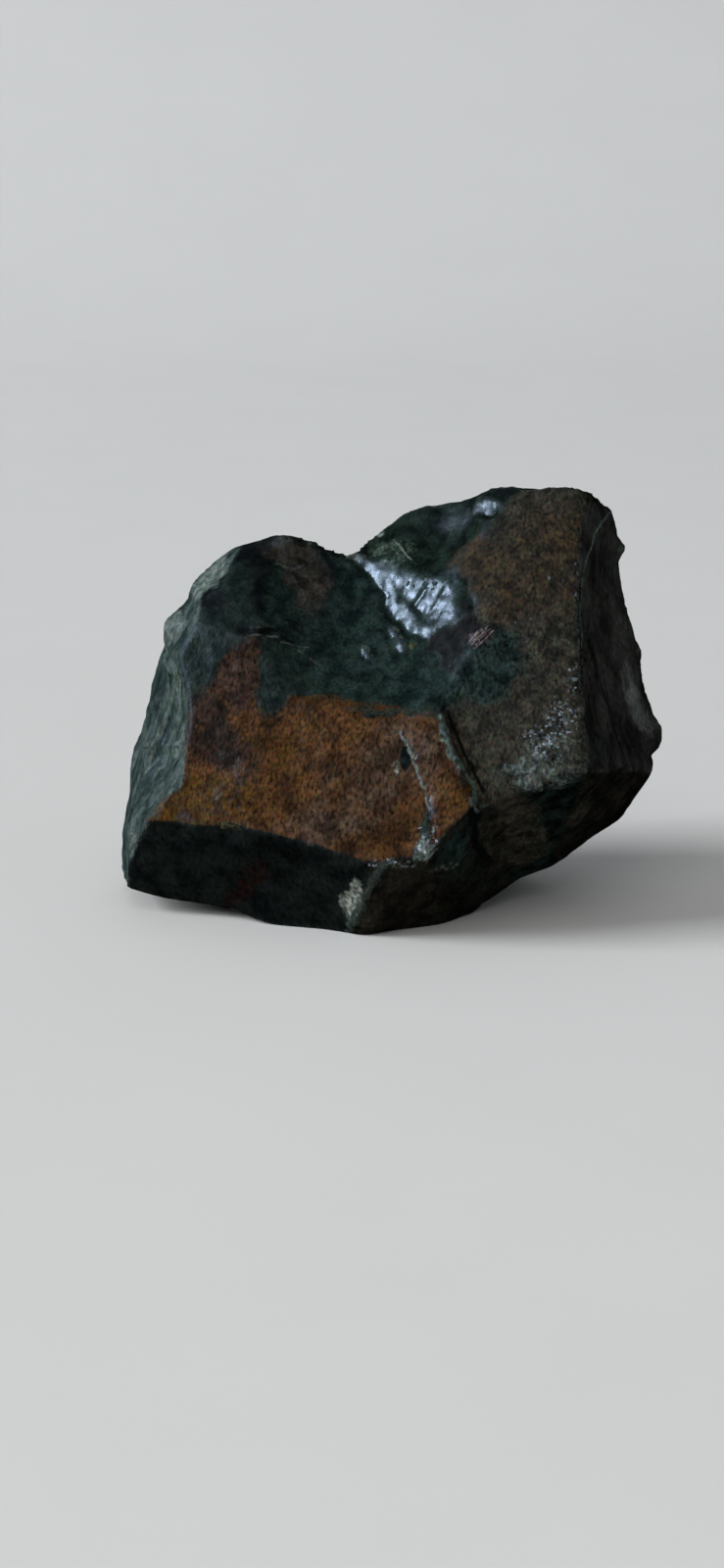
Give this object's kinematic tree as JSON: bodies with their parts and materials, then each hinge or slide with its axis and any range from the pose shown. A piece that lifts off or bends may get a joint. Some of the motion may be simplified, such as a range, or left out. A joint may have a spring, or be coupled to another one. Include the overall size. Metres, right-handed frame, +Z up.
{
  "type": "rough bloodstone",
  "caption": "A palm-sized lump of rough bloodstone, broken on every side, with a hollowed saddle between two peaks and a flat base to rest on.",
  "frame": {"origin": "middle of the box at the level of the flat base that the stone rests on", "axes": "+X to the right and the longest extent, +Y away from a viewer who faces the brown front break, +Z up"},
  "size_m": [0.1148, 0.0748, 0.0869],
  "materials": {
    "stone": "dark green jasper with a rust-brown, grainy front break, purple-brown and olive patches, a few red spots and a white quartz patch; glossy in the shell-shaped hollows and dull on the grainy breaks"
  },
  "bodies": {
    "root": {"bloodstone": "stone"}
  },
  "joints": []
}
